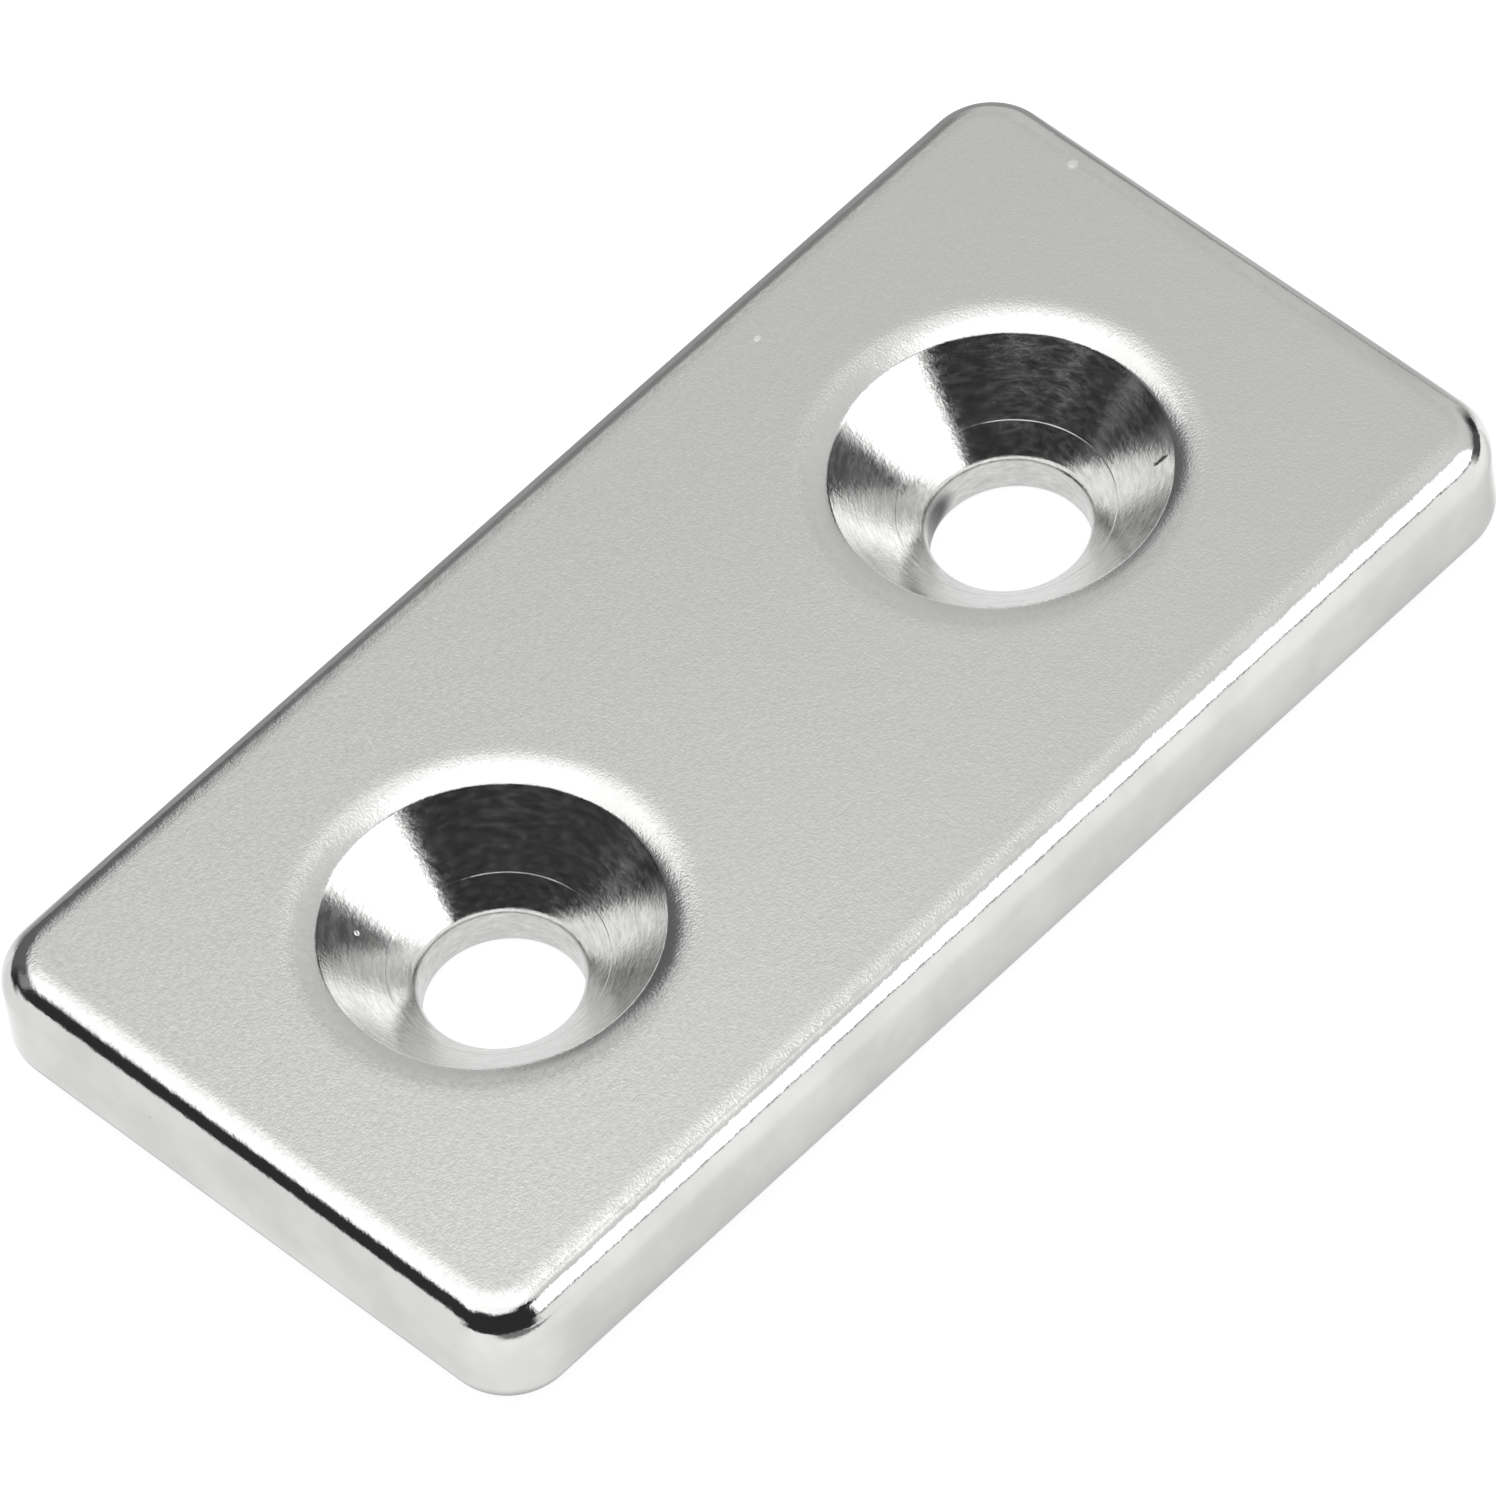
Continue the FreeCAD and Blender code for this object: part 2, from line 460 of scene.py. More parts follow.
@dataclass(frozen=True)
class MagnetSkin:
    """The plated outside of the magnet: two faces, the tumbled edge and two turned holes."""

    low: Vector
    high: Vector
    spacing: float
    hole: HoleSection
    corner_radius: float = 2.0 * MM
    edge_radius: float = 1.1 * MM
    edge_lead: float = 0.18 * MM
    lead_angle: float = math.radians(12.0)
    point_gap: float = 0.22 * MM
    corner_columns: int = 20
    edge_rows: int = 30
    row_power: float = 1.35
    side_rows: int = 8
    face_rows: tuple[float, ...] = (0.0, 0.008, 0.08, 0.25, 0.5, 0.75, 0.93, 0.992, 1.0)
    weld: float = 0.0005 * MM

    def half_outline(self) -> tuple[np.ndarray, np.ndarray]:
        """Half of the faces' outline, on the +X side, from y low to y high.

        The outline is the block's rounded rectangle moved in by the edge radius and its lead:
        straight runs with evenly spaced points, and corners (cos a, sin a) times the smaller
        corner radius.

        Returns:
            Points (x, y) and their outward unit normals.
        """
        inner = self.corner_radius - self.edge_radius - self.edge_lead
        flat_x = self.high.x - self.corner_radius
        flat_y = self.high.y - self.corner_radius
        along_x = np.linspace(0.0, flat_x, int(flat_x / self.point_gap))[:-1]
        along_y = np.linspace(-flat_y, flat_y, int(2 * flat_y / self.point_gap))[1:-1]
        turn = np.linspace(-math.pi / 2, 0.0, self.corner_columns)
        angles = np.concatenate([
            np.full(len(along_x), -math.pi / 2), turn, np.zeros(len(along_y)),
            turn + math.pi / 2, np.full(len(along_x), math.pi / 2),
        ])
        centres_x = np.concatenate([
            along_x, np.full(2 * len(turn) + len(along_y), flat_x), along_x[::-1],
        ])
        centres_y = np.concatenate([
            np.full(len(along_x) + len(turn), -flat_y), along_y,
            np.full(len(along_x) + len(turn), flat_y),
        ])
        normals = np.column_stack([np.cos(angles), np.sin(angles)])
        return np.column_stack([centres_x, centres_y]) + inner * normals, normals

    def edge_section(self) -> tuple[np.ndarray, np.ndarray]:
        """Section of the rim of the block, from the top face to the bottom face.

        Two quarter circles of radius R with a straight side between them. The first part of
        each, up to the slope b, is drawn out by the lead w, so that the face rolls off slowly:
        at the slope a, out = w + R sin a - w (1 - a/b)^2 and
        z = top - R (1 - cos a) - w (a^2/b - 2 a^3/(3 b^2)), with a/b no more than 1 in both.

        Returns:
            How far out each row lies from the faces' outline, and its height.
        """
        turn = (math.pi / 2) * np.linspace(0.0, 1.0, self.edge_rows) ** self.row_power
        start = np.minimum(turn / self.lead_angle, 1.0)
        out = self.edge_lead * (1 - (1 - start) ** 2) + self.edge_radius * np.sin(turn)
        fall = (self.edge_radius * (1 - np.cos(turn))
                + self.edge_lead * self.lead_angle * (start ** 2 - 2 * start ** 3 / 3))
        side = np.linspace(self.high.z - fall[-1], self.low.z + fall[-1], self.side_rows)[1:-1]
        outs = np.concatenate([out, np.full(len(side), out[-1]), out[::-1]])
        heights = np.concatenate([self.high.z - fall, side, self.low.z + fall[::-1]])
        return outs, heights

    def edge_grid(self) -> np.ndarray:
        """The edge band: the rim section carried round the whole outline.

        Returns:
            Grid of points, rows down the section by columns round the outline.
        """
        half, half_normals = self.half_outline()
        outline = np.vstack([half[:-1], -half[:-1]])
        normals = np.vstack([half_normals[:-1], -half_normals[:-1]])
        out, height = self.edge_section()
        flat = outline[None] + out[:, None, None] * normals[None]
        tall = np.broadcast_to(height[:, None, None], (*flat.shape[:2], 1))
        return np.concatenate([flat, tall], axis=2)

    def hole_grid(self) -> tuple[np.ndarray, int, int]:
        """Everything inside the outline of one half: top face, hole and bottom face.

        Column j runs from outline point j towards the hole's axis along the same angle: over the
        face as outline + t (mouth circle - outline), down the hole as axis + r (cos a, sin a),
        and back out over the bottom face.

        Returns:
            Grid of points for the +X half, and the first and last row of the turned surfaces.
        """
        half, _ = self.half_outline()
        seam_y = np.linspace(half[-1, 1], half[0, 1], int(2 * half[-1, 1] / self.point_gap))[1:-1]
        seam = np.column_stack([np.zeros(len(seam_y)), seam_y])
        loop = np.vstack([half, seam])
        axis = np.array([self.spacing / 2, 0.0])
        arms = loop - axis
        rays = arms / np.linalg.norm(arms, axis=1, keepdims=True)
        section, turned_row = self.hole.rows()
        share = np.array(self.face_rows)[:, None, None]
        mouth = axis + self.hole.mouth_radius * rays
        foot = axis + self.hole.foot_mouth_radius * rays
        top = loop[None] + share * (mouth - loop)[None]
        wall = axis + section[1:-1, 0][:, None, None] * rays[None]
        bottom = foot[None] + share * (loop - foot)[None]
        flat = np.vstack([top, wall, bottom])
        rows = len(self.face_rows)
        height = np.concatenate([np.full(rows, self.high.z), section[1:-1, 1],
                                 np.full(rows, self.low.z)])
        tall = np.broadcast_to(height[:, None, None], (*flat.shape[:2], 1))
        first = rows + turned_row - 1
        last = rows + len(section) - 1 - len(self.hole.foot())
        return np.concatenate([flat, tall], axis=2), first, last

    @staticmethod
    def grid_faces(rows: int, columns: int, start: int, flip: bool = False) -> np.ndarray:
        """Four-sided faces of a grid that closes on itself along its columns.

        Args:
            rows: number of rows.
            columns: number of columns.
            start: number of the grid's first vertex.
            flip: True to turn the faces round.

        Returns:
            Array of four vertex numbers for each face, row by row.
        """
        row = np.arange(rows - 1)[:, None]
        column = np.arange(columns)[None]
        following = (column + 1) % columns
        corners = [row * columns + column, (row + 1) * columns + column,
                   (row + 1) * columns + following, row * columns + following]
        faces = np.stack(corners, axis=2).reshape(-1, 4) + start
        return faces[:, ::-1] if flip else faces

    def build(self) -> bpy.types.Object:
        """Joins the grids into one closed mesh object.

        The -X half is the +X half turned half a turn about Z.

        Returns:
            The magnet's object, with smooth faces and a material number on each face.
        """
        edge = self.edge_grid()
        right, first, last = self.hole_grid()
        left = right * np.array([-1.0, -1.0, 1.0])
        points, faces, zones = [], [], []
        count = 0
        for grid, turned, flip in ((edge, None, False), (right, (first, last), True),
                                   (left, (first, last), True)):
            rows, columns = grid.shape[:2]
            points.append(grid.reshape(-1, 3))
            faces.append(self.grid_faces(rows, columns, count, flip))
            zone = np.full((rows - 1, columns), Zone.PLATE.value)
            if turned:
                zone[turned[0]:turned[1]] = Zone.TURNED.value
            zones.append(zone.reshape(-1))
            count += rows * columns
        mesh = bpy.data.meshes.new("block_magnet_skin")
        mesh.from_pydata(np.vstack(points), [], np.vstack(faces))
        mesh.polygons.foreach_set("material_index", np.concatenate(zones))
        self.close(mesh)
        self.measure(mesh)
        skin = bpy.data.objects.new("plated_block", mesh)
        bpy.context.scene.collection.objects.link(skin)
        return skin

    def close(self, mesh: bpy.types.Mesh) -> None:
        """Welds the seams between the grids, points the faces outwards and smooths them.

        Args:
            mesh: the joined grids.
        """
        work = bmesh.new()
        work.from_mesh(mesh)
        bmesh.ops.remove_doubles(work, verts=work.verts, dist=self.weld)
        bmesh.ops.recalc_face_normals(work, faces=work.faces)
        work.to_mesh(mesh)
        open_edges = sum(1 for edge in work.edges if not edge.is_manifold)
        work.free()
        if open_edges:
            raise RuntimeError(f"the skin has {open_edges} open edges")
        mesh.polygons.foreach_set("use_smooth", np.ones(len(mesh.polygons), dtype=bool))
        mesh.update()

    def measure(self, mesh: bpy.types.Mesh) -> None:
        """Writes the slope attribute: at each vertex, degrees between its normal and Z.

        Args:
            mesh: the closed skin.
        """
        normals = np.empty(len(mesh.vertices) * 3, dtype=np.float32)
        mesh.vertices.foreach_get("normal", normals)
        upright = np.clip(np.abs(normals.reshape(-1, 3)[:, 2]), 0.0, 1.0)
        slope = mesh.attributes.new(SLOPE, "FLOAT", "POINT")
        slope.data.foreach_set("value", np.degrees(np.arccos(upright)).astype(np.float32))


@dataclass(frozen=True)
class NickelPlate:
    """Nickel on the faces and edges: satin where the surface is flat, polished where it rolls.

    The satin throws a part of the light so wide that it looks matt, whatever it faces.
    """

    spacing: float
    lip_radius: float
    half_length: float
    lip_satin: float = 0.5
    lip_edge: float = 0.1 * MM
    flat_slope: float = 7.0
    rolled_slope: float = 19.0
    fringe_size: float = 0.22 * MM
    fringe: float = 9.0
    satin_color: Color = (0.636, 0.636, 0.627)
    polished_color: Color = (0.702, 0.702, 0.692)
    satin_roughness: float = 0.20
    polished_roughness: float = 0.07
    matt_share: float = 0.34
    matt_slope: float = 0.5
    bright_slope: float = 8.0
    grain_size: float = 0.075 * MM
    grain_height: float = 0.0065 * MM
    level_slope: float = 1.0
    rolling_slope: float = 5.0
    rolling_grain: float = 1.9
    polished_grain: float = 0.25
    cloud_size: float = 2.2 * MM
    cloud: float = 0.06
    speck_size: float = 0.16 * MM
    near_speck: float = 0.48
    far_speck: float = 0.05
    ripple_size: float = 0.9 * MM
    ripple_height: float = 0.018 * MM
    satin_ripple: float = 0.3
    marks: tuple[Mark, ...] = (
        # Two pimples: real bumps, with a painted highlight in their lighter colour.
        Mark((18.96, 5.63, 4.0), (0.24, 0.2, 0.3), 20.0, height=0.010, shade=1.3),
        Mark((8.96, 8.16, 4.0), (0.16, 0.12, 0.3), 0.0, height=0.006, shade=1.35),
        Mark((-7.74, 6.74, 4.0), (0.05, 0.7, 0.3), -24.0, height=0.002, shade=1.08),
        Mark((-8.3, 7.1, 4.0), (0.04, 0.45, 0.3), -40.0, height=-0.002, shade=0.93),
        # Two small pits near the -X end, drawn only as painted shade in a darker colour, with no
        # bump.
        Mark((-19.8, 6.46, 3.62), (0.3, 0.09, 0.06), 0.0, shade=0.5),
        Mark((-20.0, 3.2, 2.84), (0.3, 0.08, 0.05), 0.0, shade=0.7),
    )

    def material(self) -> bpy.types.Material:
        """Builds the finish.

        Returns:
            The material, which reads Object coordinates and the skin's slope attribute.
        """
        made = bpy.data.materials.new("nickel_plate")
        made.use_nodes = True
        graph = Graph(made.node_tree)
        place = graph.node("ShaderNodeTexCoord").outputs["Object"]
        satin = self.satin(graph, place)
        shader = graph.node("ShaderNodeBsdfPrincipled")
        graph.feed(shader.inputs["Metallic"], graph.step(
            self.slope(graph), self.matt_slope, self.bright_slope, 1.0 - self.matt_share, 1.0))
        graph.feed(shader.inputs["Roughness"],
                   graph.mix(satin, self.polished_roughness, self.satin_roughness))
        cloud = graph.step(graph.noise(place, 1 / self.cloud_size, detail=3.0), *NOISE_RANGE,
                           1 - self.cloud, 1 + self.cloud)
        tint = graph.shade(graph.mix_color(satin, self.polished_color, self.satin_color),
                           graph.mix(satin, cloud, 1.0))
        tint = graph.shade(tint, self.speckle(graph, place, satin))
        tint, normal = Mark.apply(self.marks, graph, place, tint,
                                  self.relief(graph, place, satin))
        graph.feed(shader.inputs["Base Color"], tint)
        graph.feed(shader.inputs["Normal"], normal)
        graph.surface(shader.outputs[0])
        return made

    def slope(self, graph: Graph) -> Socket:
        """The skin's slope in degrees, 0 on its flat faces."""
        return graph.node("ShaderNodeAttribute", attribute_name=SLOPE).outputs["Fac"]

    def satin(self, graph: Graph, place: Socket) -> Socket:
        """Where the plate is satin.

        Args:
            graph: the finish's graph.
            place: Object coordinates.

        Returns:
            1 on flat places, at least lip_satin on the lips, and 0 where the edge rolls over.
        """
        x, y, _ = graph.split(place)
        radius = graph.hole_distance(x, y, self.spacing)
        lip = graph.step(radius, self.lip_radius, self.lip_radius + self.lip_edge,
                         self.lip_satin, 0.0)
        patchy = graph.noise(place, 1 / self.fringe_size, detail=2.0)
        shift = graph.step(patchy, 0.0, 1.0, -self.fringe, self.fringe, smooth=False)
        uneven = graph.math("ADD", self.slope(graph), shift)
        flat = graph.step(uneven, self.flat_slope, self.rolled_slope, 1.0, 0.0)
        return graph.math("MAXIMUM", flat, lip)

    def speckle(self, graph: Graph, place: Socket, satin: Socket) -> Socket:
        """How light each fleck of the satin is: strong at the -X end and faint at the +X end.

        Args:
            graph: the finish's graph.
            place: Object coordinates.
            satin: where the plate is satin.

        Returns:
            A factor around 1.
        """
        fleck = graph.noise(place, 1 / self.speck_size, detail=2.0, roughness=0.6)
        strong = graph.step(graph.split(place)[0], -self.half_length, self.half_length,
                            self.near_speck, self.far_speck, smooth=False)
        away = graph.math("SUBTRACT", fleck, 0.5)
        return graph.math("MULTIPLY_ADD", away, graph.math("MULTIPLY", strong, satin), 1.0)

    def relief(self, graph: Graph, place: Socket, satin: Socket) -> Socket:
        """The satin's fine grain over the slow waves of the polished edge.

        Args:
            graph: the finish's graph.
            place: Object coordinates.
            satin: where the plate is satin.

        Returns:
            The normal.
        """
        ripple = graph.noise(place, 1 / self.ripple_size, detail=2.0)
        calm = graph.mix(satin, 1.0, self.satin_ripple)
        coarse = graph.bump(graph.math("MULTIPLY", ripple, calm), self.ripple_height)
        grain = graph.noise(place, 1 / self.grain_size, detail=2.0, roughness=0.6)
        rolling = graph.step(self.slope(graph), self.level_slope, self.rolling_slope, 1.0,
                             self.rolling_grain)
        depth = graph.math("MULTIPLY", graph.mix(satin, self.polished_grain, 1.0), rolling)
        return graph.bump(graph.math("MULTIPLY", grain, depth), self.grain_height, coarse)


@dataclass(frozen=True)
class TurnedNickel:
    """Nickel in the countersinks and bores, with the fine rings that the cutter left."""

    spacing: float
    color: Color = (0.700, 0.698, 0.690)
    roughness: float = 0.14
    smooth_band: float = 0.8
    rough_band: float = 1.4
    stretch: float = 0.35
    sweep: float = 9.0
    hole_shift: float = 7.0
    ring_pitch: float = 0.10 * MM
    ring_height: float = 0.0010 * MM
    band_pitch: float = 0.30 * MM
    band_height: float = 0.003 * MM
    grain_size: float = 0.10 * MM
    grain_height: float = 0.0030 * MM
    streak: float = 0.34
    streak_scale: float = 0.6
    marks: tuple[Mark, ...] = (
        # A nick in the +X cone: real dents, with painted shade in their darker colour.
        Mark((13.22, -2.94, 3.42), (0.24, 0.07, 0.3), -42.0, height=-0.08, shade=0.25),
        Mark((13.10, -2.82, 3.28), (0.12, 0.06, 0.3), -75.0, height=-0.05, shade=0.4),
        # A small bump on the -X cone, with a painted highlight in its lighter colour.
        Mark((-12.07, 3.19, 2.85), (0.09, 0.08, 0.2), 30.0, height=0.012, shade=1.4),
        # Painted shade on the wall of the +X bore, low down: a darker colour only.
        Mark((9.05, 2.04, 0.66), (1.6, 0.5, 0.85), 25.0, shade=0.1),
    )

    def material(self) -> bpy.types.Material:
        """Builds the finish.

        The rings are noise over (radius + height, a slow change with the angle), so each one is
        a long arc about the hole's own axis. The reflection is stretched across them.

        Returns:
            The material, which reads Object coordinates.
        """
        made = bpy.data.materials.new("turned_nickel")
        made.use_nodes = True
        graph = Graph(made.node_tree)
        place = graph.node("ShaderNodeTexCoord").outputs["Object"]
        x, y, z = graph.split(place)
        side = graph.math("SIGN", x)
        local_x = graph.math("SUBTRACT", x, graph.math("MULTIPLY", side, self.spacing / 2))
        radial = graph.vector(local_x, y, 0.0)
        angle = graph.math("ARCTAN2", y, local_x)
        depth = graph.math("ADD", graph.length(local_x, y), z)
        sweep_x = graph.math("MULTIPLY", graph.math("COSINE", angle), self.sweep)
        sweep_y = graph.math("MULTIPLY", graph.math("SINE", angle), self.sweep)
        shift = graph.math("MULTIPLY", side, self.hole_shift)
        fine_place = graph.vector(
            graph.math("ADD", graph.math("DIVIDE", depth, self.ring_pitch), shift),
            sweep_x, sweep_y)
        band_place = graph.vector(
            graph.math("ADD", graph.math("DIVIDE", depth, self.band_pitch), shift),
            sweep_x, sweep_y)
        fine = graph.noise(fine_place, 1.0, detail=2.0, roughness=0.6)
        band = graph.noise(band_place, 1.0, detail=3.0, roughness=0.65)
        shader = graph.node("ShaderNodeBsdfPrincipled")
        shader.inputs["Metallic"].default_value = 1.0
        shader.inputs["Anisotropic"].default_value = self.stretch
        graph.feed(shader.inputs["Roughness"], graph.step(
            band, *NOISE_RANGE, self.roughness * self.smooth_band,
            self.roughness * self.rough_band))
        graph.feed(shader.inputs["Tangent"], radial)
        grain = graph.noise(place, 1 / self.grain_size, detail=2.0)
        coarse = graph.bump(band, self.band_height)
        rings = graph.bump(fine, self.ring_height, coarse)
        worn = graph.step(graph.noise(fine_place, self.streak_scale, detail=3.0, roughness=0.7),
                          0.0, 1.0, 1.0 + self.streak, 1.0 - self.streak, smooth=False)
        tint, normal = Mark.apply(self.marks, graph, place, graph.shade(self.color, worn),
                                  graph.bump(grain, self.grain_height, rings))
        graph.feed(shader.inputs["Base Color"], tint)
        graph.feed(shader.inputs["Normal"], normal)
        graph.surface(shader.outputs[0])
        return made


@dataclass(frozen=True)
class SkyPatch:
    """One part of the studio as the magnet sees it, with soft sides and a soft foot and head.

    Angles are in degrees. Its light goes evenly from foot_light at low to head_light at high.
    """

    azimuth: float
    half_width: float
    low: float
    high: float
    foot_light: float
    head_light: float
    side_soft: float = 6.0
    foot_soft: float = 3.0

    def over(self, graph: Graph, light: Socket, azimuth: Socket, elevation: Socket) -> Socket:
        """Lays the patch over the light that is already there.

        Args:
            graph: the sky's graph.
            light: the sky without this patch.
            azimuth: the direction's angle about Z from +X.
            elevation: the direction's angle above the horizon.

        Returns:
            The sky with the patch.
        """
        turn = graph.apart(azimuth, self.azimuth)
        side, foot = self.side_soft, self.foot_soft
        mask = graph.step(turn, self.half_width - side, self.half_width + side, 1.0, 0.0)
        rise = graph.step(elevation, self.low - foot, self.low + foot)
        fall = graph.step(elevation, self.high - foot, self.high + foot, 1.0, 0.0)
        mask = graph.math("MULTIPLY", mask, rise)
        if self.high < 90.0:
            mask = graph.math("MULTIPLY", mask, fall)
        own = graph.step(elevation, self.low, self.high, self.foot_light, self.head_light,
                         smooth=False)
        return graph.mix(mask, light, own)


@dataclass(frozen=True)
class LightTent:
    """The studio round the table: a domed tent whose light changes from place to place.

    The camera looks in through it and sees the plain white backdrop.
    """

    radius: float = 220.0 * MM
    segments: int = 64
    room: float = 0.035
    even: float = 0.8
    backdrop: float = 1.0
    outside: float = 0.75
    patches: tuple[SkyPatch, ...] = (
        # Dark walls that the lips, the corners and the cones' left sides mirror, and a less dark
        # one that the far long edge mirrors.
        SkyPatch(84.0, 26.0, -6.0, 40.0, 0.14, 0.16, side_soft=8.0, foot_soft=4.0),
        SkyPatch(-20.0, 14.0, 2.0, 16.0, 0.10, 0.10, foot_soft=4.0),
        SkyPatch(62.0, 9.0, -6.0, 26.0, 0.27, 0.27, side_soft=3.0, foot_soft=4.0),
        # Grey walls that the far edges and the lips mirror, and above them two brighter ones, the
        # second of which the flat face mirrors.
        SkyPatch(16.0, 54.5, 23.0, 56.0, 0.70, 0.82, side_soft=3.0, foot_soft=8.0),
        SkyPatch(34.0, 22.0, -5.0, 30.0, 0.62, 0.70, side_soft=9.0, foot_soft=4.0),
        SkyPatch(-2.0, 44.0, 48.0, 69.0, 0.76, 0.92, side_soft=8.0, foot_soft=2.0),
        SkyPatch(50.0, 18.0, 46.0, 68.0, 0.52, 1.54, side_soft=8.0, foot_soft=2.0),
        # White sheets overhead, from the far side round to the left end.
        SkyPatch(65.0, 12.0, 60.2, 90.0, 1.8, 1.8, side_soft=6.0, foot_soft=2.5),
        SkyPatch(108.0, 36.0, 45.0, 90.0, 1.5, 1.5, side_soft=7.0, foot_soft=7.0),
        SkyPatch(152.0, 22.0, 43.0, 90.0, 1.5, 1.5, side_soft=6.0, foot_soft=3.0),
        # The dim wall under them.
        SkyPatch(125.0, 12.0, 23.0, 43.0, 0.28, 0.28, side_soft=5.0, foot_soft=4.0),
        # White sheets overhead, from the left end round to the camera.
        SkyPatch(-168.0, 22.0, 50.5, 90.0, 1.42, 1.42, side_soft=8.0),
        SkyPatch(-137.0, 18.0, 54.0, 90.0, 1.42, 1.42, side_soft=10.0),
        # The white screen that each cone mirrors as a bright wedge, and the grey above it.
        SkyPatch(-58.5, 28.0, 20.0, 51.0, 2.2, 2.2, side_soft=6.0, foot_soft=2.0),
        SkyPatch(-48.0, 24.0, 51.0, 62.0, 0.72, 0.90, side_soft=4.0, foot_soft=2.0),
        # The rest of the white overhead, up to the top of the tent.
        SkyPatch(-85.0, 45.0, 62.0, 90.0, 1.42, 1.42, side_soft=10.0),
        SkyPatch(0.0, 200.0, 70.0, 90.0, 1.65, 1.65),
        # The light low down, which the near edges and the right sides of the cones mirror.
        SkyPatch(152.0, 20.0, -20.0, 13.4, 0.95, 0.95, side_soft=8.0, foot_soft=2.0),
        SkyPatch(106.0, 20.0, -20.0, 3.0, 0.8, 0.8, side_soft=6.0, foot_soft=2.0),
        SkyPatch(-66.0, 26.0, -20.0, 16.6, 1.10, 1.10, side_soft=10.0, foot_soft=2.0),
    )

    def light(self, graph: Graph) -> Socket:
        """The tent's light at each place on it, from its direction seen from the middle.

        Args:
            graph: the cloth's graph.

        Returns:
            The room's dim light with the patches laid over it, in their order.
        """
        place = graph.node("ShaderNodeTexCoord").outputs["Object"]
        inward = graph.node("ShaderNodeVectorMath", operation="NORMALIZE")
        graph.feed(inward.inputs[0], place)
        x, y, z = graph.split(inward.outputs[0])
        elevation = graph.math("MULTIPLY", graph.math("ARCSINE", z), math.degrees(1.0))
        azimuth = graph.azimuth(x, y)
        light = self.room
        for patch in self.patches:
            light = patch.over(graph, light, azimuth, elevation)
        return light

    def material(self) -> bpy.types.Material:
        """Builds the tent's cloth.

        Returns:
            The material: patchy where the magnet mirrors it, evenly bright to the table, and
            clear to the camera.
        """
        made = bpy.data.materials.new("light_tent")
        made.use_nodes = True
        made.cycles.emission_sampling = "NONE"
        graph = Graph(made.node_tree)
        path = graph.node("ShaderNodeLightPath")
        patchy = graph.node("ShaderNodeEmission")
        graph.feed(patchy.inputs["Strength"], self.light(graph))
        plain = graph.node("ShaderNodeEmission")
        plain.inputs["Strength"].default_value = self.even
        glow = graph.node("ShaderNodeMixShader")
        graph.feed(glow.inputs[0], path.outputs["Is Glossy Ray"])
        graph.feed(glow.inputs[1], plain.outputs[0])
        graph.feed(glow.inputs[2], patchy.outputs[0])
        choice = graph.node("ShaderNodeMixShader")
        graph.feed(choice.inputs[0], path.outputs["Is Camera Ray"])
        graph.feed(choice.inputs[1], glow.outputs[0])
        graph.feed(choice.inputs[2], graph.node("ShaderNodeBsdfTransparent").outputs[0])
        graph.surface(choice.outputs[0])
        return made

    def build_backdrop(self) -> None:
        """Builds the world beyond the tent: white to the camera, and an even light outside."""
        world = bpy.data.worlds.new("backdrop")
        bpy.context.scene.world = world
        world.use_nodes = True
        graph = Graph(world.node_tree)
        path = graph.node("ShaderNodeLightPath")
        shader = graph.node("ShaderNodeBackground")
        seen = graph.mix(path.outputs["Is Camera Ray"], self.outside, self.backdrop)
        graph.feed(shader.inputs["Strength"], seen)
        graph.surface(shader.outputs[0], "ShaderNodeOutputWorld")

    def build(self) -> bpy.types.Object:
        """Makes the tent and the backdrop.

        Returns:
            The tent's object.
        """
        mesh = bpy.data.meshes.new("light_tent")
        work = bmesh.new()
        bmesh.ops.create_uvsphere(work, u_segments=self.segments, v_segments=self.segments // 2,
                                  radius=self.radius)
        work.to_mesh(mesh)
        work.free()
        mesh.materials.append(self.material())
        tent = bpy.data.objects.new("light_tent", mesh)
        bpy.context.scene.collection.objects.link(tent)
        self.build_backdrop()
        return tent


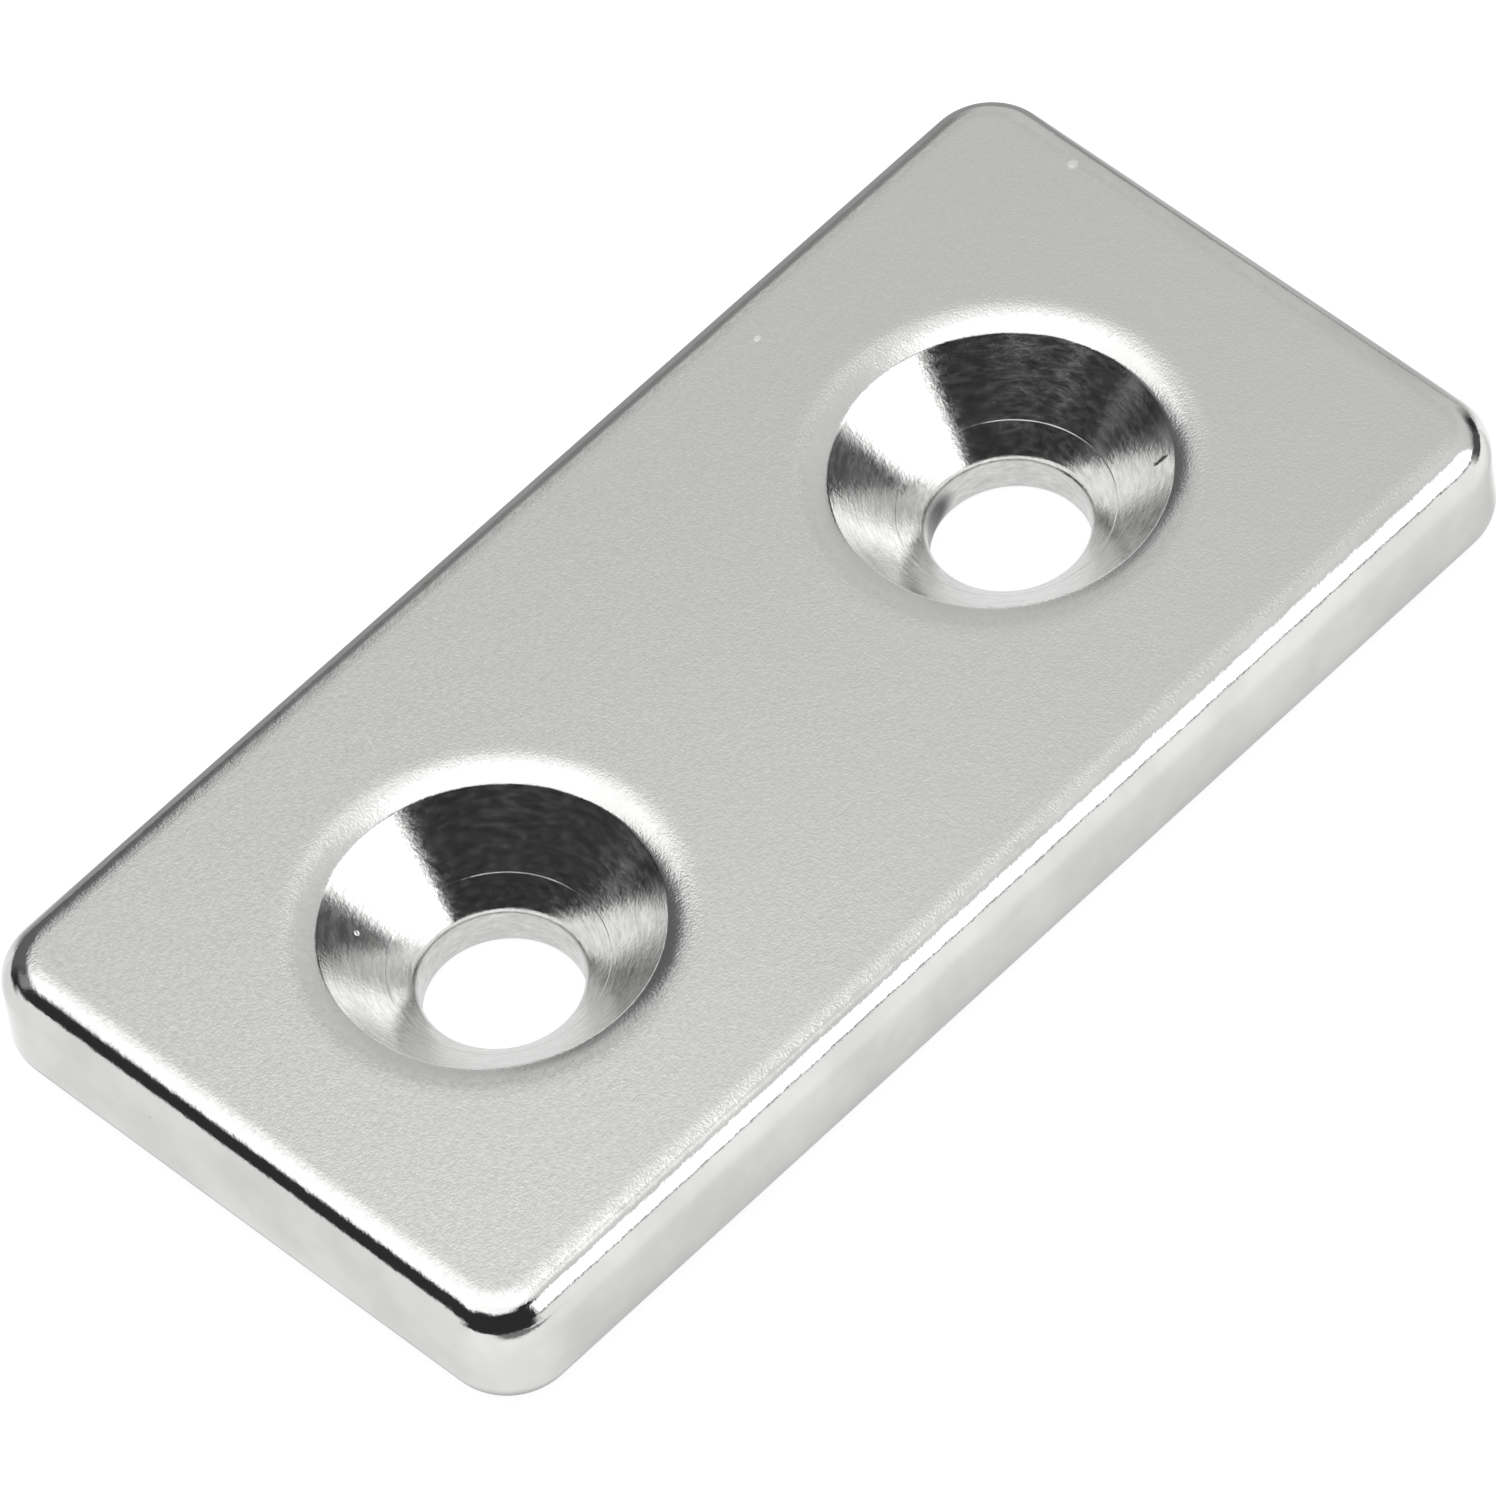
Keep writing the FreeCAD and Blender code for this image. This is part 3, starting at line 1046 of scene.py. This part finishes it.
@dataclass(frozen=True)
class TableTop:
    """The plain pale table that the magnet lies on.

    Starts and ends of its dim parts are in metres, or in shares of the magnet's half length or
    half width where the name says share.
    """

    half_length: float
    half_width: float
    spacing: float
    bore_radius: float
    half_size: float = 3.0
    drop: float = 0.001 * MM
    color: Color = (0.3, 0.3, 0.3)
    camera_lift: float = 0.86
    mirror_lift: float = 0.86
    corner_radius: float = 2.0 * MM
    bore_dim: float = 0.20
    bore_soft: float = 0.3 * MM
    contact_inside: float = 1.0 * MM
    contact_outside: float = 0.6 * MM
    edge_soft: float = 1.5 * MM
    corner_soft: float = 4.0 * MM
    front_reach: float = 8.0 * MM
    front_power: float = 3.8
    front_dim: float = 0.385
    back_dim: float = 0.85
    back_share: float = -0.6
    end_dim: float = 0.6
    end_shares: tuple[float, float] = (-0.8, -0.2)
    left_dim: float = 0.18
    # A painted dark patch on the table that stands for the camera's reflection.
    camera_shade_azimuth: float = -131.0
    camera_shade_half_width: float = 22.0
    camera_shade_core: float = 0.6
    camera_shade_start: float = 26.5 * MM
    camera_shade_full: float = 32.0 * MM

    def under(self, graph: Graph, x: Socket, y: Socket) -> Socket:
        """How much of a place on the table the magnet covers, painted as contact shadow on the
        glow that the magnet mirrors.

        Args:
            graph: the table's graph.
            x: the place along the length.
            y: the place along the width.

        Returns:
            1 under the magnet, 0 away from it and a little in the open bores.
        """
        inner_x, inner_y = (half - self.corner_radius
                            for half in (self.half_length, self.half_width))
        past_x = graph.math("MAXIMUM", 0.0, graph.math(
            "SUBTRACT", graph.math("ABSOLUTE", x), inner_x))
        past_y = graph.math("MAXIMUM", 0.0, graph.math(
            "SUBTRACT", graph.math("ABSOLUTE", y), inner_y))
        # Painted contact shadow: the mirrored glow is taken away under the magnet and fades out
        # just past its foot.
        shaded_under = graph.step(graph.length(past_x, past_y),
                             self.corner_radius - self.contact_inside,
                             self.corner_radius + self.contact_outside, 1.0, 0.0)
        closed = graph.step(graph.hole_distance(x, y, self.spacing), self.bore_radius,
                            self.bore_radius + self.bore_soft, self.bore_dim, 1.0)
        return graph.math("MULTIPLY", shaded_under, closed)

    def dim(self, graph: Graph, x: Socket, y: Socket) -> Socket:
        """How dim a place on the table looks in the magnet's polish.

        Behind the magnet and past its far end the glow is painted dark, in front of it and past
        its near end it is painted as a soft shadow, and in line with the lens a painted dark patch
        stands for the camera's reflection.

        Args:
            graph: the table's graph.
            x: the place along the length.
            y: the place along the width.

        Returns:
            0 in the light and up to 1 in the dim.
        """
        long, wide, soft = self.half_length, self.half_width, self.edge_soft
        back = graph.math("MULTIPLY", graph.step(y, wide - soft, wide + soft, 0.0, self.back_dim),
                          graph.step(x, -long, self.back_share * long))
        end = graph.math("MULTIPLY", graph.step(x, long - soft, long + soft, 0.0, self.end_dim),
                         graph.step(y, *(share * wide for share in self.end_shares)))
        corner = self.corner_soft
        left = graph.math("MULTIPLY",
                          graph.step(x, -long - soft, -long + soft, self.left_dim, 0.0),
                          graph.step(y, -wide, -wide + corner))
        near = graph.math("POWER", graph.step(y, -wide - self.front_reach, -wide, smooth=False),
                          self.front_power)
        beside = graph.math("MULTIPLY", graph.step(y, -wide, -wide + soft, self.front_dim, 0.0),
                            graph.step(x, -long, -long + corner))
        front = graph.math("MULTIPLY", near, beside)
        # Painted dark patch in line with the lens, standing for the camera's reflection.
        lens = graph.math(
            "MULTIPLY",
            graph.step(graph.apart(graph.azimuth(x, y), self.camera_shade_azimuth),
                       self.camera_shade_half_width * self.camera_shade_core, self.camera_shade_half_width, 1.0, 0.0),
            graph.step(graph.length(x, y), self.camera_shade_start, self.camera_shade_full))
        total = back
        for part in (end, left, front, lens):
            total = graph.math("MAXIMUM", total, part)
        return total

    def material(self) -> bpy.types.Material:
        """Builds the table's finish: a matt grey that keeps the shadow, lifted to white.

        Returns:
            The material: white to the camera, and dim in parts where the magnet mirrors it.
        """
        made = bpy.data.materials.new("table_top")
        made.use_nodes = True
        graph = Graph(made.node_tree)
        x, y, _ = graph.split(graph.node("ShaderNodeTexCoord").outputs["Object"])
        path = graph.node("ShaderNodeLightPath")
        # Painted shade: the glow that the magnet mirrors is taken away under it and in the table's
        # dim parts.
        lit = graph.math("SUBTRACT", 1.0, graph.math("MAXIMUM", self.under(graph, x, y),
                                                     self.dim(graph, x, y)))
        mirrored = graph.math("MULTIPLY", graph.math("MULTIPLY", lit, self.mirror_lift),
                              path.outputs["Is Glossy Ray"])
        lift = graph.math("ADD", mirrored,
                          graph.math("MULTIPLY", path.outputs["Is Camera Ray"], self.camera_lift))
        glow = graph.node("ShaderNodeEmission")
        graph.feed(glow.inputs["Strength"], lift)
        matt = graph.node("ShaderNodeBsdfDiffuse")
        matt.inputs["Color"].default_value = (*self.color, 1.0)
        both = graph.node("ShaderNodeAddShader")
        graph.feed(both.inputs[0], glow.outputs[0])
        graph.feed(both.inputs[1], matt.outputs[0])
        graph.surface(both.outputs[0])
        return made

    def build(self, level: float) -> bpy.types.Object:
        """Makes the table just under the magnet.

        Args:
            level: height of the magnet's bottom face.

        Returns:
            The table's object.
        """
        size, z = self.half_size, level - self.drop
        mesh = bpy.data.meshes.new("table_top")
        corners = [(-size, -size, z), (size, -size, z), (size, size, z), (-size, size, z)]
        mesh.from_pydata(corners, [], [(0, 1, 2, 3)])
        mesh.materials.append(self.material())
        table = bpy.data.objects.new("table_top", mesh)
        bpy.context.scene.collection.objects.link(table)
        return table


@dataclass(frozen=True)
class StudioCamera:
    """The long lens that looks down on the magnet from its near left corner."""

    azimuth: float = math.radians(-39.323)
    elevation: float = math.radians(52.259)
    roll: float = math.radians(-8.964)
    distance: float = 483.94 * MM
    target: tuple[float, float, float] = (0.522 * MM, 0.936 * MM, 0.0)
    lens: float = 427.88
    sensor: float = 36.0

    def build(self) -> bpy.types.Object:
        """Makes the scene's camera.

        Its back points from the target at (sin a cos e, -cos a cos e, sin e), and its right and
        up are turned about that by the roll.

        Returns:
            The camera's object.
        """
        back = Vector((math.sin(self.azimuth) * math.cos(self.elevation),
                       -math.cos(self.azimuth) * math.cos(self.elevation),
                       math.sin(self.elevation)))
        level = Vector((math.cos(self.azimuth), math.sin(self.azimuth), 0.0))
        rise = back.cross(level)
        right = level * math.cos(self.roll) + rise * math.sin(self.roll)
        up = rise * math.cos(self.roll) - level * math.sin(self.roll)
        turn = Matrix((right, up, back)).transposed().to_4x4()
        data = bpy.data.cameras.new("studio_camera")
        data.lens = self.lens
        data.sensor_width = self.sensor
        data.clip_start = self.distance / 10
        data.clip_end = self.distance * 10
        camera = bpy.data.objects.new("studio_camera", data)
        camera.matrix_world = Matrix.Translation(Vector(self.target) + back * self.distance) @ turn
        bpy.context.scene.collection.objects.link(camera)
        bpy.context.scene.camera = camera
        return camera


@dataclass(frozen=True)
class Magnet:
    """The finished magnet: its skin, its two finishes and its body in the frame."""

    low: Vector
    high: Vector
    spacing: float
    bore_radius: float

    @classmethod
    def from_frame(cls) -> "Magnet":
        """Reads the block's box and the screw pattern's sizes from the frame.

        Returns:
            The magnet, not built yet.
        """
        low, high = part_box(NODE)
        mounts = {mount["name"]: mount for mount in frame["record"]["mounts"]}
        pattern = mounts["screw_holes"]["dims"]
        return cls(Vector(low), Vector(high), pattern["spacing_x_mm"] * MM,
                   pattern["hole_r_mm"] * MM)

    def build(self) -> bpy.types.Object:
        """Builds the skin, dresses it and lets it stand for the plain solid.

        Returns:
            The magnet's object.
        """
        section = HoleSection(top=self.high.z, bore_radius=self.bore_radius)
        skin = MagnetSkin(self.low, self.high, self.spacing, section).build()
        skin.data.materials.append(NickelPlate(
            self.spacing, section.mouth_radius, self.high.x).material())
        skin.data.materials.append(TurnedNickel(self.spacing).material())
        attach(skin, BODY)
        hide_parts(NODE)
        return skin


def main() -> None:
    """Builds the magnet, the table, the sky and the camera."""
    logging.basicConfig(level=logging.INFO, format="%(name)s: %(message)s")
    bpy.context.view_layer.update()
    scene = bpy.context.scene
    scene.view_settings.view_transform = "Standard"
    magnet = Magnet.from_frame()
    skin = magnet.build()
    triangles = sum(len(face.vertices) - 2 for face in skin.data.polygons)
    LOG.info("plated block with %d triangles", triangles)
    TableTop(magnet.high.x, magnet.high.y, magnet.spacing, magnet.bore_radius).build(magnet.low.z)
    LOG.info("table top")
    LightTent().build()
    LOG.info("light tent")
    StudioCamera().build()
    LOG.info("camera")


if __name__ == "__main__":
    main()
